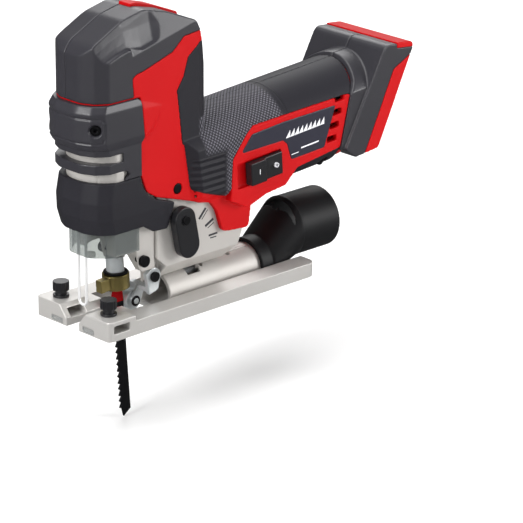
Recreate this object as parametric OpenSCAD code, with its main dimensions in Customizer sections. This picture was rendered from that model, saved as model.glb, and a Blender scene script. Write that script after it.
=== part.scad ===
// Cordless barrel-grip jigsaw, in millimetres.
// The origin is where the blade's centre line meets the underside of the shoe. -X is the cutting
// direction, +X is the battery end, -Y is the tool's left side and +Z is up. The whole drive
// leans by lean about the origin, so its parts are drawn upright inside drive().

/* [Shoe] */
// Length of the sole plate
shoe_l = 169; // [165:1:172]
// Width of the sole plate
shoe_w = 66; // [64:1:68]
// Height of the side rails
rail_h = 9; // [8.6:0.1:9.2]
// Width of the blade slot at the underside
slot_w = 11; // [10.6:0.1:11.4]
// Radius of the bevel trough that the gear case rests on
trough_r = 14; // [13.8:0.1:14]
// Height of the bevel axis above the underside
bevel_z = 6; // [5.8:0.1:6.1]

/* [Drive] */
// Lean of the plunger and motor from upright, in degrees
lean = 4; // [3.8:0.1:4.2]
// Radius of the crank pin's circle, half of the blade's stroke
crank_r = 13; // [12:0.5:13]
// Radius of the plunger
plunger_r = 4.5; // [4.3:0.1:4.5]
// Height of the motor axis above the origin, along the plunger
motor_w = 80.6; // [80.4:0.1:80.8]
// Gear module
gear_module = 1; // [0.98:0.01:1]
// Pressure angle of the gears
pressure_angle = 25; // [24:1:26]

/* [Blade] */
// Overall length of the blade
blade_l = 100; // [96:1:102]
// Width of the blade behind its teeth
blade_w = 8.3; // [8:0.1:8.4]
// Thickness of the blade
blade_t = 1.25; // [1:0.05:1.3]
// Distance from one tooth to the next
tooth_pitch = 4; // [3:0.5:4]

/* [Body] */
// Half width of the head
head_half = 22; // [21.8:0.1:22.2]
// Radius of the barrel
barrel_r = 31.5; // [31.2:0.1:31.6]
// Half width across the barrel's flat sides
barrel_half = 27.5; // [27.3:0.1:27.6]
// Wall of the plastic casings
wall = 2.5; // [2.3:0.1:2.6]
// Half width of the battery foot
foot_half = 31; // [30.5:0.1:31.5]

/* [Dust port] */
// Outer radius of the hose port
port_r = 19.3; // [19:0.1:19.4]
// Bore radius of the hose port
port_bore_r = 17.4; // [17:0.1:17.5]
// Height of the port's axis
port_z = 22.9; // [22.8:0.1:23.2]

/* [Hidden] */
$fn = 64;

// Colours
red = "#c4141a";
charcoal = "#3a3a3e";
rubber = "#303035";
black = "#1c1c1e";
alloy = "#c9c5bf";
steel = "#a9abad";
zinc = "#b9bfbd";
copper = "#b8733a";
brass = "#8f8252";
smoke = [0.75, 0.8, 0.75, 0.45];

// Fits
run_fit = 0.05;
gap = 0.3;
far = 200;

// Heights on the leaning plunger axis
clamp_low = 19;
clamp_top = 38;
ring_low = 17.8;
ring_h = 9.2;
ring_r = 8.2;
clamp_r = 5.4;
rod_top = 150;
low_bush = [66, 78];
top_bush = [128, 140];
rod_bore_r = plunger_r + run_fit;
bush_r = 8;

// Gear train
pinion_teeth = 9;
gear_teeth = 38;
addendum = 0.8;
dedendum = 1.05;
backlash = 0.16;
gear_w = motor_w + gear_module * (pinion_teeth + gear_teeth) / 2;
pin_w = gear_w - crank_r;
gear_u = [18, 26];
plate_u = [28, 34];
axle_r = 4;
shaft_r = 2.5;
bearing_r = 8;

// Orbital support behind the blade
roller_r = 6;
roller_x = 9.85;
roller_z = 7.1;
arm_pivot = [15.7, 23.8];
lever_pivot = [30.5, 58.5];
lever_end = [33.8, 42];
lever_r = 7.9;
lever_y = [-26.6, -21.2];

// Shoe
shoe_x = -35.8;
floor_h = 3;
rail_in = 19;
prong_x = -5;
prong_h = 12.2;
knob_x = -26.1;
knob_y = 21.4;
guide_slot = [-31.8, -19.6, 4.5, 9.4];
trough_x = [29.5, 109.7];
trough_wall = 2.2;

// Head cap, whose halves part a little to the right of the middle
cap_seam = 3.6;

// Case and clear guard
case_front_r = 23.5;
case_front_x = -8;
case_front_half = 21.2;
case_half = 19.3;
case_room = 19.8;
case_low_half = 18.5;
guard_t = 1.6;
wire_x = -27.3;
wire_y = 3.25;
wire_r = 0.9;
wire_low = 13.1;

// Foot: a frame along the battery face, from its lower rear corner
foot_corner = [187.9, 69.8];
foot_tilt = atan2(219 - 187.9, 132 - 69.8);

// Side outlines in X and Z, each corner with its radius
head_side = [[-36, 110, 0], [-36, 167, 8], [-31, 174.5, 12], [-9, 185.5, 20], [8, 189.3, 12],
             [24, 185.5, 10], [44, 177.5, 5], [48, 169, 8], [52.5, 148, 12], [54.5, 139, 8],
             [52, 131, 5], [58, 122, 0], [58, 96, 0], [-36, 96, 0]];
cap_low = [[-40, 140.4], [-5, 140.4], [-6, 151.8], [-3, 153.8], [2, 154.6], [13, 158],
           [25, 161.8], [34, 169.5], [49, 171], [60, 171], [60, 210], [-40, 210]];
jaw_side = [[-0.2, 138, 0], [2, 115, 0], [-0.2, 112, 0], [-0.2, 93, 4], [4, 81, 6], [12, 76, 6],
            [24, 72.2, 0], [45, 65.2, 4], [55, 62.6, 4], [60, 56, 4], [64.5, 42.5, 3],
            [70, 41.3, 3], [86, 40, 3], [88.5, 57, 8], [98, 64, 4], [98, 86, 0], [40, 88, 0],
            [40, 120, 0], [30, 138, 0]];
frame_side = [[66.5, 62, 0], [68, 88, 5], [79, 101.5, 4], [86, 105, 3], [160, 108.5, 1],
              [166, 108.5, 1], [158, 76, 2], [121, 71, 6], [112, 62, 5], [95, 60, 2], [80, 55, 0]];
label_side = [[74.5, 90.2, 1], [83.3, 100.4, 2], [109, 102.6, 1], [153.4, 104, 1],
              [144, 79, 1], [116, 77.4, 2], [112.6, 88, 2], [109, 91, 2]];
grip_side = [[36, 160, 0], [33.5, 146, 3], [28.2, 138, 3], [29.6, 128, 3], [33.2, 96, 3],
             [36, 80, 3], [39, 74.2, 3], [66.5, 64.5, 2], [68, 88, 5], [79, 101.5, 4],
             [86, 105, 3], [160, 108.5, 1], [166, 108.5, 0], [200, 110.5, 0], [200, 140, 0],
             [60, 140, 0], [60, 160, 0]];
back_side = [[36, 80], [33.2, 96], [29.6, 128], [28.2, 137.6], [33.5, 145.5], [37, 156.5], [47, 164],
             [70, 164], [70, 80]];
under_side = [[112, 50, 0], [112, 62, 5], [121, 71, 6], [158, 76, 2], [164, 40, 0], [112, 40, 0]];
grip_plan = [[49.3, -22.2], [55, -barrel_half - 0.1], [300, -barrel_half - 0.1],
             [300, barrel_half + 0.1], [55, barrel_half + 0.1], [49.3, 22.2]];
foot_side = [[159.7, 74.3, 2], [168.3, 67.8, 2], [187.9, 69.8, 3], [219, 132, 3],
             [193.4, 134.6, 6]];
foot_red = [[172, 60], [200.6, 117.9], [216.5, 125.5], [240, 118], [196, 55]];
cover_side = [[-40, 92, 0], [-40, 60.2, 0], [1, 60.6, 2], [9, 55.5, 2], [20, 54.8, 2],
              [25, 70.6, 1], [10.4, 75.3, 3], [4, 79.5, 4], [-1, 88, 2], [-1, 92, 0]];
case_front_side = [[5, 30], [3, 32], [0, 44], [-16, 44], [-16, 82], [14.5, 82], [14.5, 30]];
lug_side = [[12.4, 20.6], [12.4, 27], [18, 33], [24, 33], [24, 20.6]];
// What lies ahead of the collar's rear edge, and above the lever
front_side = [[-60, 90], [-0.3, 90], [-0.3, 112], [2, 115], [-0.2, 138], [-0.2, 139.6], [-60, 139.6]];
over_case = [[18, 74], [45, 65.2], [55, 62.6], [66, 52], [172, 52], [168, 72],
             [163, 76.5], [226.4, 190], [18, 190]];
// The foot's band around the end of the barrel
band_side = [[158, 74], [166.2, 108.5], [171.6, 114.3], [177.7, 125.2], [184, 136.5],
             [195, 136.5], [175, 72]];
grip_end = [[162.3, 40], [162.3, 104], [166, 108], [170.4, 114.3], [176.5, 125.2], [190, 150],
            [240, 150], [240, 40]];
case_side = [[14.8, 92, 0], [14.8, 36, 2], [21.6, 30, 2], [22, 20.4, 0], [76, 20.4, 0], [84, 38, 3],
             [84, 50, 4], [62, 60, 4], [58, 70, 3], [30, 82, 0], [30, 92, 0]];

function unit(v) = v / norm(v);
function xy(p) = [p[0], p[1]];
// The arc that rounds corner b between its neighbours a and c
function corner(a, b, c, r, n) = r <= 0 ? [b] : let(
    u = unit(a - b), v = unit(c - b), half = acos(u * v) / 2,
    centre = b + unit(u + v) * r / sin(half),
    p = b + u * r / tan(half) - centre, q = b + v * r / tan(half) - centre,
    from = atan2(p[1], p[0]), turn = (atan2(q[1], q[0]) - from + 540) % 360 - 180)
    [for (i = [0:n]) centre + r * [cos(from + turn * i / n), sin(from + turn * i / n)]];
// An outline whose corners are rounded by their third value
function soft(points, n = 4) = [for (i = [0:len(points) - 1])
    each corner(xy(points[(i + len(points) - 1) % len(points)]), xy(points[i]),
                xy(points[(i + 1) % len(points)]), points[i][2], n)];
function flip(points) = [for (i = [len(points) - 1:-1:0])
    [points[i][0], -points[i][1], points[i][2]]];

// Plan of the head at a height: a bowed front, chamfered corners and straight sides
function head_plan(nose, half, rear, rear_r) = let(
    left = [[rear, -half, rear_r], [nose + 12, -half, 2], [nose + 5, -half + 5, 4],
            [nose + 0.8, -9, 12]])
    concat(left, flip(left));

// Gears: one involute tooth about +Y in its own plane, then all of them
function involute(r, t) = r * [sin(t) - t * PI / 180 * cos(t), cos(t) + t * PI / 180 * sin(t)];
function turned(p, a) = [p[0] * cos(a) - p[1] * sin(a), p[0] * sin(a) + p[1] * cos(a)];
function roll_at(r, base) = r <= base ? 0 : sqrt(r * r / (base * base) - 1) * 180 / PI;
function tooth(teeth, steps = 3) = let(
    pitch_r = gear_module * teeth / 2, base = pitch_r * cos(pressure_angle),
    root = pitch_r - dedendum * gear_module, tip = pitch_r + addendum * gear_module,
    low = max(root, base), first = roll_at(low, base), last = roll_at(tip, base),
    roll = roll_at(pitch_r, base), skew = roll - atan(roll * PI / 180),
    half = 90 / teeth - backlash / pitch_r * 90 / PI + skew,
    flank = [for (i = [0:steps]) turned(involute(base, first + (last - first) * i / steps), half)],
    foot = root < base ? [unit(flank[0]) * root] : [])
    concat(foot, flank, [for (p = concat(foot, flank)) [-p[0], p[1]]]);
function half_of(list) = len(list) / 2;
// Order a tooth's points from its left foot over the tip to its right foot
function ordered(t) = concat([for (i = [0:half_of(t) - 1]) t[i]],
                             [for (i = [len(t) - 1:-1:half_of(t)]) t[i]]);

module drive() { rotate([0, -lean, 0]) children(); }
// Places a shape drawn along +Z so that it lies along the motor axis at height w
module along_motor(u, w) { drive() translate([u, 0, w]) rotate([0, 90, 0]) children(); }
// An X and Z outline drawn from y0 to y1
module slab(points, y0, y1) {
    translate([0, y1, 0]) rotate([90, 0, 0]) linear_extrude(y1 - y0) polygon(points);
}
module plan(points, z0, z1) { translate([0, 0, z0]) linear_extrude(z1 - z0) polygon(points); }
module box(low, high) { translate(low) cube(high - low); }
module left_side() { box([-far, -far, -far], [2 * far, 0, 2 * far]); }
module right_side() { box([-far, 0, -far], [2 * far, far, 2 * far]); }
module tube(outer, inner, h) {
    difference() {
        cylinder(r = outer, h = h);
        translate([0, 0, -1]) cylinder(r = inner, h = h + 2);
    }
}
// Cross bar along Y between y0 and y1 at a point of the side view
module across(p, r, y0, y1) {
    translate([p[0], y1, p[1]]) rotate([90, 0, 0]) cylinder(r = r, h = y1 - y0);
}
module foot_frame() {
    translate([foot_corner[0], 0, foot_corner[1]]) rotate([0, foot_tilt, 0]) children();
}

// Barrel: a leaning cylinder with flat sides
module barrel(r, half, u0 = 24, u1 = 178) {
    intersection() {
        along_motor(u0, motor_w) cylinder(r = r, h = u1 - u0);
        box([-far, -half, 0], [2 * far, half, far]);
    }
}
// What lies behind the sloped front edge of the barrel's sides
module sloped(back = 0) {
    rotate([0, -9.1, 0]) translate([back, 0, 0]) plan(grip_plan, -100, 200);
}
module head_core(inset) {
    intersection() {
        slab(soft(head_side), -40, 40);
        plan(soft(head_plan(-36 + inset, head_half - inset, 55 - inset, 10)), 96 + inset, 185);
        translate([0, 0, -inset]) slab(soft(head_side), -40, 40);
        translate([-inset, 0, 0]) slab(soft(head_side), -40, 40);
    }
}
module cap_region() { slab(cap_low, -60, 60); }
module jaw(half) { slab(soft(jaw_side), -half, half); }

// The rubber strip up the back of the head, over the barrel
module back_strip() {
    difference() {
        intersection() {
            head_core(0);
            slab(back_side, -60, 60);
        }
        head_core(1.5);
        barrel(barrel_r - 1.45, barrel_half - 1.45, 20, 190);
    }
}
// The shell's flare behind the collar
module flare() {
    for (s = [-1, 1]) hull() {
        slab([[0, 137.5], [17.9, 131.7], [11.8, 120], [2, 114.5]], s * 21.6 - 0.4, s * 21.6 + 0.4);
        slab([[0.3, 133], [2.1, 115.6], [3, 115.6], [1.2, 133]], s * 23.3 - 0.1, s * 23.3 + 0.1);
    }
}
// The slopes from the sides of the head up to its crown
module crown_cut(x, z, pitch, from, to, inset = 0) {
    for (s = [-1, 1]) translate([x, 0, z]) rotate([0, -pitch, 0]) rotate([90, 0, 90])
        translate([0, 0, from]) linear_extrude(to - from)
            polygon([[s * (head_half + 0.01 - inset), -inset], [s * (head_half - 7 - inset), 24 - inset],
                     [s * 60, 24 - inset], [s * 60, -inset]]);
}
module crown(inset = 0) {
    crown_cut(-25.4, 163.5, 17.7, -20, 20.3, inset);
    crown_cut(2, 166.9, 14, -8.3, 60, inset);
}

// Through screws between the two casings: X, Z and half width there
housing_screw_at = [[150, 67, 16]];
case_screw_at = [[28.5, 77.5]];

module housing() {
    difference() {
        union() {
            difference() {
                head_core(0);
                cap_region();
                slab(front_side, -60, 60);
            }
            jaw(head_half);
            flare();
            intersection() {
                barrel(barrel_r - 1.5, barrel_half - 1.5, 24, 200);
                slab(over_case, -60, 60);
                sloped(1.5);
            }
            slab(soft(frame_side), -barrel_half, barrel_half);
            intersection() {
                slab(soft(foot_side), -foot_half, foot_half);
                slab(foot_red, -60, 60);
            }
        }
        back_strip();
        crown();
        // Room for the gear case and the motor
        difference() {
            intersection() {
                head_core(wall);
                box([-60, -60, 0], [60, 60, 172]);
            }
            crown(wall);
        }
        box([-10, -20.2, 66], [50, 20.2, 130]);
        slab([[14, 30], [14, 72], [45, 66], [88, 66], [88, 30]], -case_low_half - 0.1,
             case_low_half + 0.1);
        barrel(barrel_r - 1.5 - wall, barrel_half - 1.5 - wall, 46, 210);
        foot_strip_solid();
        // Battery bay, open to the rear and below
        foot_room([-16, -27, -1], [1, 27, 65]);
        foot_frame() box([-16, -27, -20], [5, 27, 10]);
        // Recess for the slide switch, with the floor left in place
        for (s = [-1, 1]) drive() translate([77, s * (barrel_half + 4) - 6.2, 62.8])
            cube([36, 12.4, 15.6]);
        for (s = [-1, 1]) translate([0, s * (barrel_half + 0.9), 0])
            slab(soft(label_side), -1.7, 1.7);
        // Louvres
        for (w = [70.5, 78.5, 86.5, 94.5]) drive() box([152 + (w - 70) / 3, -60, w],
                                                      [160 + (w - 70) / 3, 60, w + 3.6]);
        for (s = housing_screw_at) {
            across([s[0], s[1]], 1.6, -60, 60);
            across([s[0], s[1]], 3.3, -60, -s[2]);
        }
        for (p = case_screw_at) across(p, 3.3, -60, -20);
        for (p = case_screw_at) across(p, 3.3, 20, 60);
    }
    // Shields behind the louvres
    for (s = [-1, 1]) intersection() {
        drive() box([148, s * 17.6 - 0.6, 62], [170, s * 17.6 + 0.6, 104]);
        barrel(barrel_r - 1.5 - wall + 0.5, barrel_half);
    }
    // Posts for the through screws
    for (s = housing_screw_at) intersection() {
        difference() {
            across([s[0], s[1]], 4.5, -s[2], s[2]);
            across([s[0], s[1]], 1.6, -60, 60);
        }
        union() {
            jaw(head_half);
            barrel(barrel_r - 1.5, barrel_half - 1.5);
        }
    }
}
module housing_left() { color(red) intersection() { housing(); left_side(); } }
module housing_right() { color(red) intersection() { housing(); right_side(); } }

module head_cap() {
    difference() {
        intersection() {
            slab(soft(head_side), -40, 40);
            plan(soft(head_plan(-36, head_half, 60, 10)), 96, 200);
            cap_region();
        }
        difference() {
            intersection() {
                translate([0, 0, -wall]) slab(soft(head_side), -40, 40);
                plan(soft(head_plan(-36 + wall, head_half - wall, 44, 6)), 96, 190);
            }
            crown(wall);
        }
        translate([0, 0, -0.01]) head_strip_solid();
        crown();
    }
}
module head_cap_left() {
    color(charcoal) intersection() {
        head_cap();
        box([-far, -far, -far], [far, cap_seam, far]);
    }
}
module head_cap_right() {
    color(charcoal) intersection() {
        head_cap();
        box([-far, cap_seam, -far], [far, far, far]);
    }
}

module head_strip_solid() {
    slab([[7, 187], [7.5, 190.4], [12, 190.4], [25.5, 186.6], [43.5, 179.3], [44.5, 177.2],
          [42, 176.6], [24, 183.6], [9, 187.2]], -5, 5);
}
module head_strip() { color(red) head_strip_solid(); }

module front_collar() {
    color(charcoal) difference() {
        union() {
            hull() for (c = [[139.6, -38.4, 0.3], [135.4, -40.5, 1.5], [117.2, -40.5, 1.5],
                             [113.5, -38.6, 1]])
                plan(soft(head_plan(c[1], head_half + c[2], 4, 1)), c[0] - 0.2, c[0]);
            plan(soft(head_plan(-37, head_half + 0.8, 4, 1)), 92.3, 113.9);
        }
        slab([[-60, 90], [-13.4, 90], [-13.4, 92], [-9, 95.3], [-12.2, 98.1], [-60, 98.1]], -60, 60);
        slab([[4.5, 90], [-0.3, 90], [-0.3, 112], [2, 115], [-0.2, 138], [-5, 141], [5, 141]],
             -60, 60);
        plan(soft(head_plan(-34, case_half + 0.6, 10, 0)), 112, 150);
        case_nose(90, 112);
        box([case_front_x, -case_room, 90], [10, case_room, 112]);
        box([-60, -60, 104], [-14, 60, 109]);
        for (s = [-1, 1]) collar_screw_at(s) translate([0, 0, -20]) cylinder(r = 3.2, h = 40);
    }
}
module collar_screw_at(side) {
    translate([-32.6, side * 19.6, 125.5]) rotate([0, -90, -side * 45]) children();
}
module collar_screws() {
    color(black) for (s = [-1, 1]) collar_screw_at(s) {
        translate([0, 0, -4]) tube(3, 1.2, 3.2);
        translate([0, 0, -4]) cylinder(r = 3, h = 1);
    }
}

module lower_cover() {
    color(rubber) difference() {
        intersection() {
            hull() for (c = [[92, -34.2, 1], [80, -36.4, 1.4], [70, -36, 1.4], [54, -31.6, 0.3]])
                plan(soft(head_plan(c[1], head_half + c[2], 30, 0)), c[0] - 0.2, c[0]);
            slab(soft(cover_side), -60, 60);
        }
        case_nose(50, 110);
        box([case_front_x, -case_room, 50], [40, case_room, 110]);
        box([-60, -60, 92], [60, 60, 110]);
    }
}

// The case's round nose, wide in front and flush with the case behind
module case_nose(low, high) {
    intersection() {
        translate([case_front_x, 0, low]) cylinder(r = case_front_r, h = high - low);
        union() {
            box([-40, -case_front_half, 0], [-12.5, case_front_half, far]);
            box([-13, -case_room, 0], [-0.5, case_room, far]);
        }
    }
}
module gear_case_front() {
    color(alloy) difference() {
        union() {
            case_nose(62, 112);
            slab(case_front_side, -16.7, 16.7);
            box([-19, -case_half, 80], [9, case_half, 142]);
        }
        // Room for the yoke, and for the clamp at the top of its stroke
        drive() box([-10, -16.8, 79], [30, 16.8, 126.5]);
        drive() box([9.5, -15, 70], [30, 15, 90]);
        box([-27, -14, 71], [-8, 14, 104]);
        drive() translate([0, 0, 10]) cylinder(r = 15.4, h = 46);
        drive() translate([0, 0, 30]) cylinder(r = clamp_r + 0.8, h = 50);
        for (b = [low_bush, top_bush]) drive() translate([0, 0, b[0]])
            cylinder(r = bush_r, h = b[1] - b[0]);
        drive() translate([0, 0, 120]) cylinder(r = plunger_r + 2, h = 40);
        box([-4, -10, 20], [20, 10, 40]);
        for (s = [-1, 1]) translate([wire_x, s * wire_y, 50]) cylinder(r = wire_r, h = 18);
        for (s = [-1, 1]) across([4.8, 37], 2, s > 0 ? 12 : -20, s > 0 ? 20 : -12);
    }
}
module gear_case() {
    color(alloy) difference() {
        union() {
            difference() {
                slab(soft(case_side), -case_low_half, case_low_half);
                // Sloped saddle that clears the tilted shoe
                for (s = [-1, 1]) translate([0, s * 9.3, 20.3]) rotate([s * 45, 0, 0])
                    box([0, s > 0 ? 0 : -60, -60], [120, s > 0 ? 60 : 0, 0]);
                translate([0, 0, bevel_z]) rotate([0, 90, 0]) cylinder(r = trough_r + gap, h = 200);
                box([17.5, -15.5, 38], [60, 15.5, 120]);
                box([14, -15.5, 66], [20, 15.5, 120]);
                box([60, -15.5, 38], [80, 15.5, 50]);
                along_motor(46, motor_w) cylinder(r = 24, h = 60);
            }
            // Lug for the guide arm's pivot
            slab(lug_side, -11.4, -6);
            drive() box([plate_u[0], -case_half, 68], [plate_u[1], case_half, gear_w + 21]);
        }
        along_motor(plate_u[0] - 1, motor_w) cylinder(r = bearing_r, h = 20);
        along_motor(plate_u[0] - 1, gear_w) cylinder(r = bearing_r, h = 20);
        across(lever_pivot, 3 + run_fit, -40, 0);
        for (p = case_screw_at) across(p, 1.5, -40, 40);
        translate([52, 0, 10]) cylinder(r = 3.1, h = 40);
        across(arm_pivot, 2, -12, -8);
    }
}
module gear_case_screws() {
    color(black) {
        for (s = [-1, 1]) across([4.8, 37], 2, s > 0 ? 12 : -17, s > 0 ? 17 : -12);
        for (s = [-1, 1]) across([4.8, 37], 3.6, s > 0 ? 17 : -19.6, s > 0 ? 19.6 : -17);
    }
}
module housing_screws() {
    color(black) {
        for (s = housing_screw_at) {
            across([s[0], s[1]], 1.6, -s[2] - 0.01, s[2] - 2);
            across([s[0], s[1]], 3, -s[2] - 2.4, -s[2]);
        }
        for (p = case_screw_at) {
            across(p, 1.5, -20.2, -12);
            across(p, 3, -21.8, -20.2);
            across(p, 1.5, 12, 20.2);
            across(p, 3, 20.2, 21.8);
        }
    }
}

module grip() {
    difference() {
        union() {
            intersection() {
                barrel(barrel_r, barrel_half, 30, 200);
                union() {
                    slab(soft(grip_side), -60, 60);
                    slab(soft(under_side), -60, 60);
                }
                sloped();
            }
            back_strip();
        }
        intersection() {
            barrel(barrel_r - 1.45, barrel_half - 1.45, 20, 190);
            sloped(1.45);
        }
        for (s = housing_screw_at) across([s[0], s[1]], 3.3, -60, -s[2] + 4);
        slab(soft(frame_side), -60, 60);
        difference() {
            jaw(head_half);
            back_strip();
        }
        head_core(1.5);
        difference() {
            head_core(0);
            slab(back_side, -60, 60);
        }
        slab(grip_end, -60, 60);
    }
}
module grip_left() { color(rubber) intersection() { grip(); left_side(); } }
module grip_right() { color(rubber) intersection() { grip(); right_side(); } }

module label(side) {
    translate([0, side * (barrel_half - 0.3), 0]) slab(soft(label_side), -0.5, 0.5);
}
module label_left() { color("#2b2b38") label(-1); }
module label_right() { color("#2b2b38") label(1); }

// A hollow in the foot that leaves its top closed
module foot_room(low, high) {
    intersection() {
        foot_frame() box(low, high);
        translate([4, 0, -wall]) slab(soft(foot_side), -60, 60);
    }
}
// The red strip along the rear edge of the foot's top
module foot_strip_solid() {
    intersection() {
        translate([0, 0, 0.8]) slab(soft(foot_side), -foot_half, foot_half);
        slab([[203.2, 150], [203.2, 130.9], [218, 129.3], [240, 150]], -60, 60);
    }
}
module foot_strip() { color(red) foot_strip_solid(); }
module foot_cover() {
    difference() {
        union() {
            slab(soft(foot_side), -foot_half, foot_half);
            intersection() {
                barrel(barrel_r + 1.6, barrel_half + 1.1, 100, 200);
                slab(band_side, -60, 60);
            }
        }
        slab(foot_red, -60, 60);
        foot_room([-22.5, -foot_half + wall, 3], [5, foot_half - wall, 66]);
        foot_frame() box([-16, -27, -20], [5, 27, 10]);
        barrel(barrel_r - 1.5, barrel_half - 1.5, 100, 210);
        slab(soft(frame_side), -60, 60);
        foot_strip_solid();
    }
}
module foot_left() { color(charcoal) intersection() { foot_cover(); left_side(); } }
module foot_right() { color(charcoal) intersection() { foot_cover(); right_side(); } }

module battery_rails() {
    color(black) foot_frame() {
        difference() {
            box([-16, -26.8, 4.5], [-14, 26.8, 60]);
            box([-17, -10, 20], [-13, 10, 48]);
        }
        for (s = [-1, 1]) {
            box([-14, s > 0 ? 24.6 : -26.8, 6], [-1, s > 0 ? 26.8 : -24.6, 60]);
            box([-4, s > 0 ? 20.5 : -24.6, 6], [-1, s > 0 ? 24.6 : -20.5, 60]);
        }
    }
}
module terminal_block() { color(black) foot_frame() box([-16, -9.9, 20.1], [-9, 9.9, 47.9]); }
module battery_contacts() {
    color(copper) foot_frame() for (y = [-7.5, -2.5, 2.5, 7.5])
        box([-9, y - 0.4, 26], [-3, y + 0.4, 44]);
}

module motor_stator() {
    color(copper) difference() {
        along_motor(50, motor_w) tube(23, 14, 38);
        for (a = [0:60:300]) along_motor(49, motor_w) rotate([0, 0, a]) box([13, -2, 0], [18, 2, 40]);
    }
}
module motor_bearings() {
    color(steel) {
        along_motor(plate_u[0], motor_w) tube(bearing_r, shaft_r + run_fit, 5);
        along_motor(104, motor_w) tube(bearing_r, shaft_r + run_fit, 5);
    }
    color(charcoal) intersection() {
        along_motor(104, motor_w) tube(barrel_r - 1.5 - wall, bearing_r, 4);
        box([0, -barrel_half + 1.5 + wall, 0], [far, barrel_half - 1.5 - wall, far]);
    }
}
module control_board() {
    color("#2f6b46") drive() box([118, -17, 64], [148, 17, 65.6]);
    color(black) drive() box([122, -12, 65.6], [140, 12, 74]);
}
module switch_module() { color(black) drive() box([119, -9, 84], [146, 9, 98]); }

module plunger_bushes() {
    color(brass) for (b = [low_bush, top_bush]) drive() translate([0, 0, b[0]])
        tube(bush_r, rod_bore_r, b[1] - b[0]);
}
module crank_bearing() {
    color(steel) along_motor(plate_u[0], gear_w) tube(bearing_r, axle_r + run_fit, 6);
}
module guard_wire() {
    color(steel) translate([wire_x, 0, 0]) {
        for (s = [-1, 1]) translate([0, s * wire_y, wire_low + wire_y])
            cylinder(r = wire_r, h = 67 - wire_low - wire_y);
        translate([0, 0, wire_low + wire_y]) rotate([-90, 0, 90])
            rotate_extrude(angle = 180) translate([wire_y, 0]) circle(r = wire_r, $fn = 24);
    }
}
module work_light() {
    color(smoke) translate([-21, 0, 41.6]) cylinder(r = 3, h = 2.4);
}
module bevel_bolt() {
    color(black) {
        translate([52, 0, trough_r - trough_wall + bevel_z - gap]) cylinder(r = 3, h = 30);
    }
}
module bevel_shoe() {
    color(steel) translate([0, 0, bevel_z]) intersection() {
        translate([46, 0, 0]) rotate([0, 90, 0])
            tube(trough_r - trough_wall - gap, trough_r - trough_wall - gap - 2, 12);
        box([0, -5, 0], [100, 5, 40]);
    }
}
module guide_pivot_screw() {
    color(black) {
        across(arm_pivot, 2, -14.7, -8);
        across(arm_pivot, 3.2, -16.4, -14.7);
    }
}

module rotor_core() { color(steel) along_motor(50, motor_w) tube(13.3, shaft_r, 38); }
module rotor_shaft() { color(steel) along_motor(17, motor_w) cylinder(r = shaft_r, h = 94); }
module cooling_fan() {
    color(black) along_motor(92, motor_w) {
        tube(6, shaft_r, 9);
        tube(20, 5, 1.5);
        for (a = [0:40:320]) rotate([0, 0, a]) box([5.5, -0.6, 1], [20, 0.6, 8]);
    }
}
module gear(teeth, h) {
    linear_extrude(h) polygon([for (i = [0:teeth - 1]) each
        [for (p = ordered(tooth(teeth))) turned(p, -i * 360 / teeth)]]);
}
module motor_pinion() {
    color(steel) drive() translate([gear_u[0], 0, motor_w]) rotate([90, 0, 90]) difference() {
        gear(pinion_teeth, gear_u[1] - gear_u[0]);
        translate([0, 0, -1]) cylinder(r = shaft_r, h = 20);
    }
}
module crank_gear() {
    color(steel) drive() translate([gear_u[0], 0, gear_w]) rotate([90, 0, 90]) difference() {
        rotate([0, 0, 180 / gear_teeth + 180]) gear(gear_teeth, gear_u[1] - gear_u[0]);
        translate([0, 0, -1]) cylinder(r = axle_r, h = 20);
        translate([0, -crank_r, -1]) cylinder(r = 3, h = 20);
    }
}
module crank_axle() {
    color(steel) along_motor(gear_u[0], gear_w) cylinder(r = axle_r, h = 16);
}
module crank_pin() {
    color(steel) along_motor(gear_u[0] - 5, pin_w) cylinder(r = 3, h = gear_u[1] - gear_u[0] + 4);
}

module plunger_rod() {
    color(steel) drive() translate([0, 0, clamp_top]) cylinder(r = plunger_r, h = rod_top - clamp_top);
}
module plunger_yoke() {
    color(steel) drive() difference() {
        box([-6, -16.4, pin_w - 7], [12.4, 16.4, pin_w + 7]);
        box([5.5, -16.5, pin_w - 3.1], [13, 16.5, pin_w + 3.1]);
        translate([0, 0, 60]) cylinder(r = plunger_r, h = 60);
    }
}
module clamp_body() {
    color(steel) drive() difference() {
        translate([0, 0, clamp_low]) cylinder(r = clamp_r, h = clamp_top - clamp_low);
        box([-4.3, -blade_t / 2 - 0.05, 0], [4.3, blade_t / 2 + 0.05, 34]);
    }
}
module clamp_ring() {
    color(brass) drive() translate([0, 0, ring_low]) difference() {
        union() {
            cylinder(r = ring_r, h = ring_h);
            rotate([0, 0, 180]) box([6, -1.5, 0.8], [14.5, 3.5, ring_h - 0.8]);
        }
        translate([0, 0, -1]) cylinder(r = clamp_r + run_fit, h = ring_h + 2);
    }
}
module saw_blade() {
    half = blade_w / 2;
    top = blade_l - 66.7;
    gullet = 1.5;
    teeth = floor(68 / tooth_pitch);
    color(black) drive() translate([0, blade_t / 2, 0]) rotate([90, 0, 0]) linear_extrude(blade_t)
        polygon(concat(
            [[4.15, -63], [-1.5, top - blade_l], [-2.6, -61]],
            [for (i = [0:teeth - 1]) each [
                [-half, -60.5 + i * tooth_pitch + (i % 2) * 0.4],
                [-half + gullet + (i % 2) * 0.4, -60.5 + (i + 0.75) * tooth_pitch]]],
            [[-half, 9], [-half, 13], [-3.2, 16], [-3.2, 29], [-4.1, 29.6], [-4.1, 32.6],
             [-3.2, top], [3.2, top], [4.1, 32.6], [4.1, 29.6], [3.2, 29], [3.2, 16], [half, 13]]));
}

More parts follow.
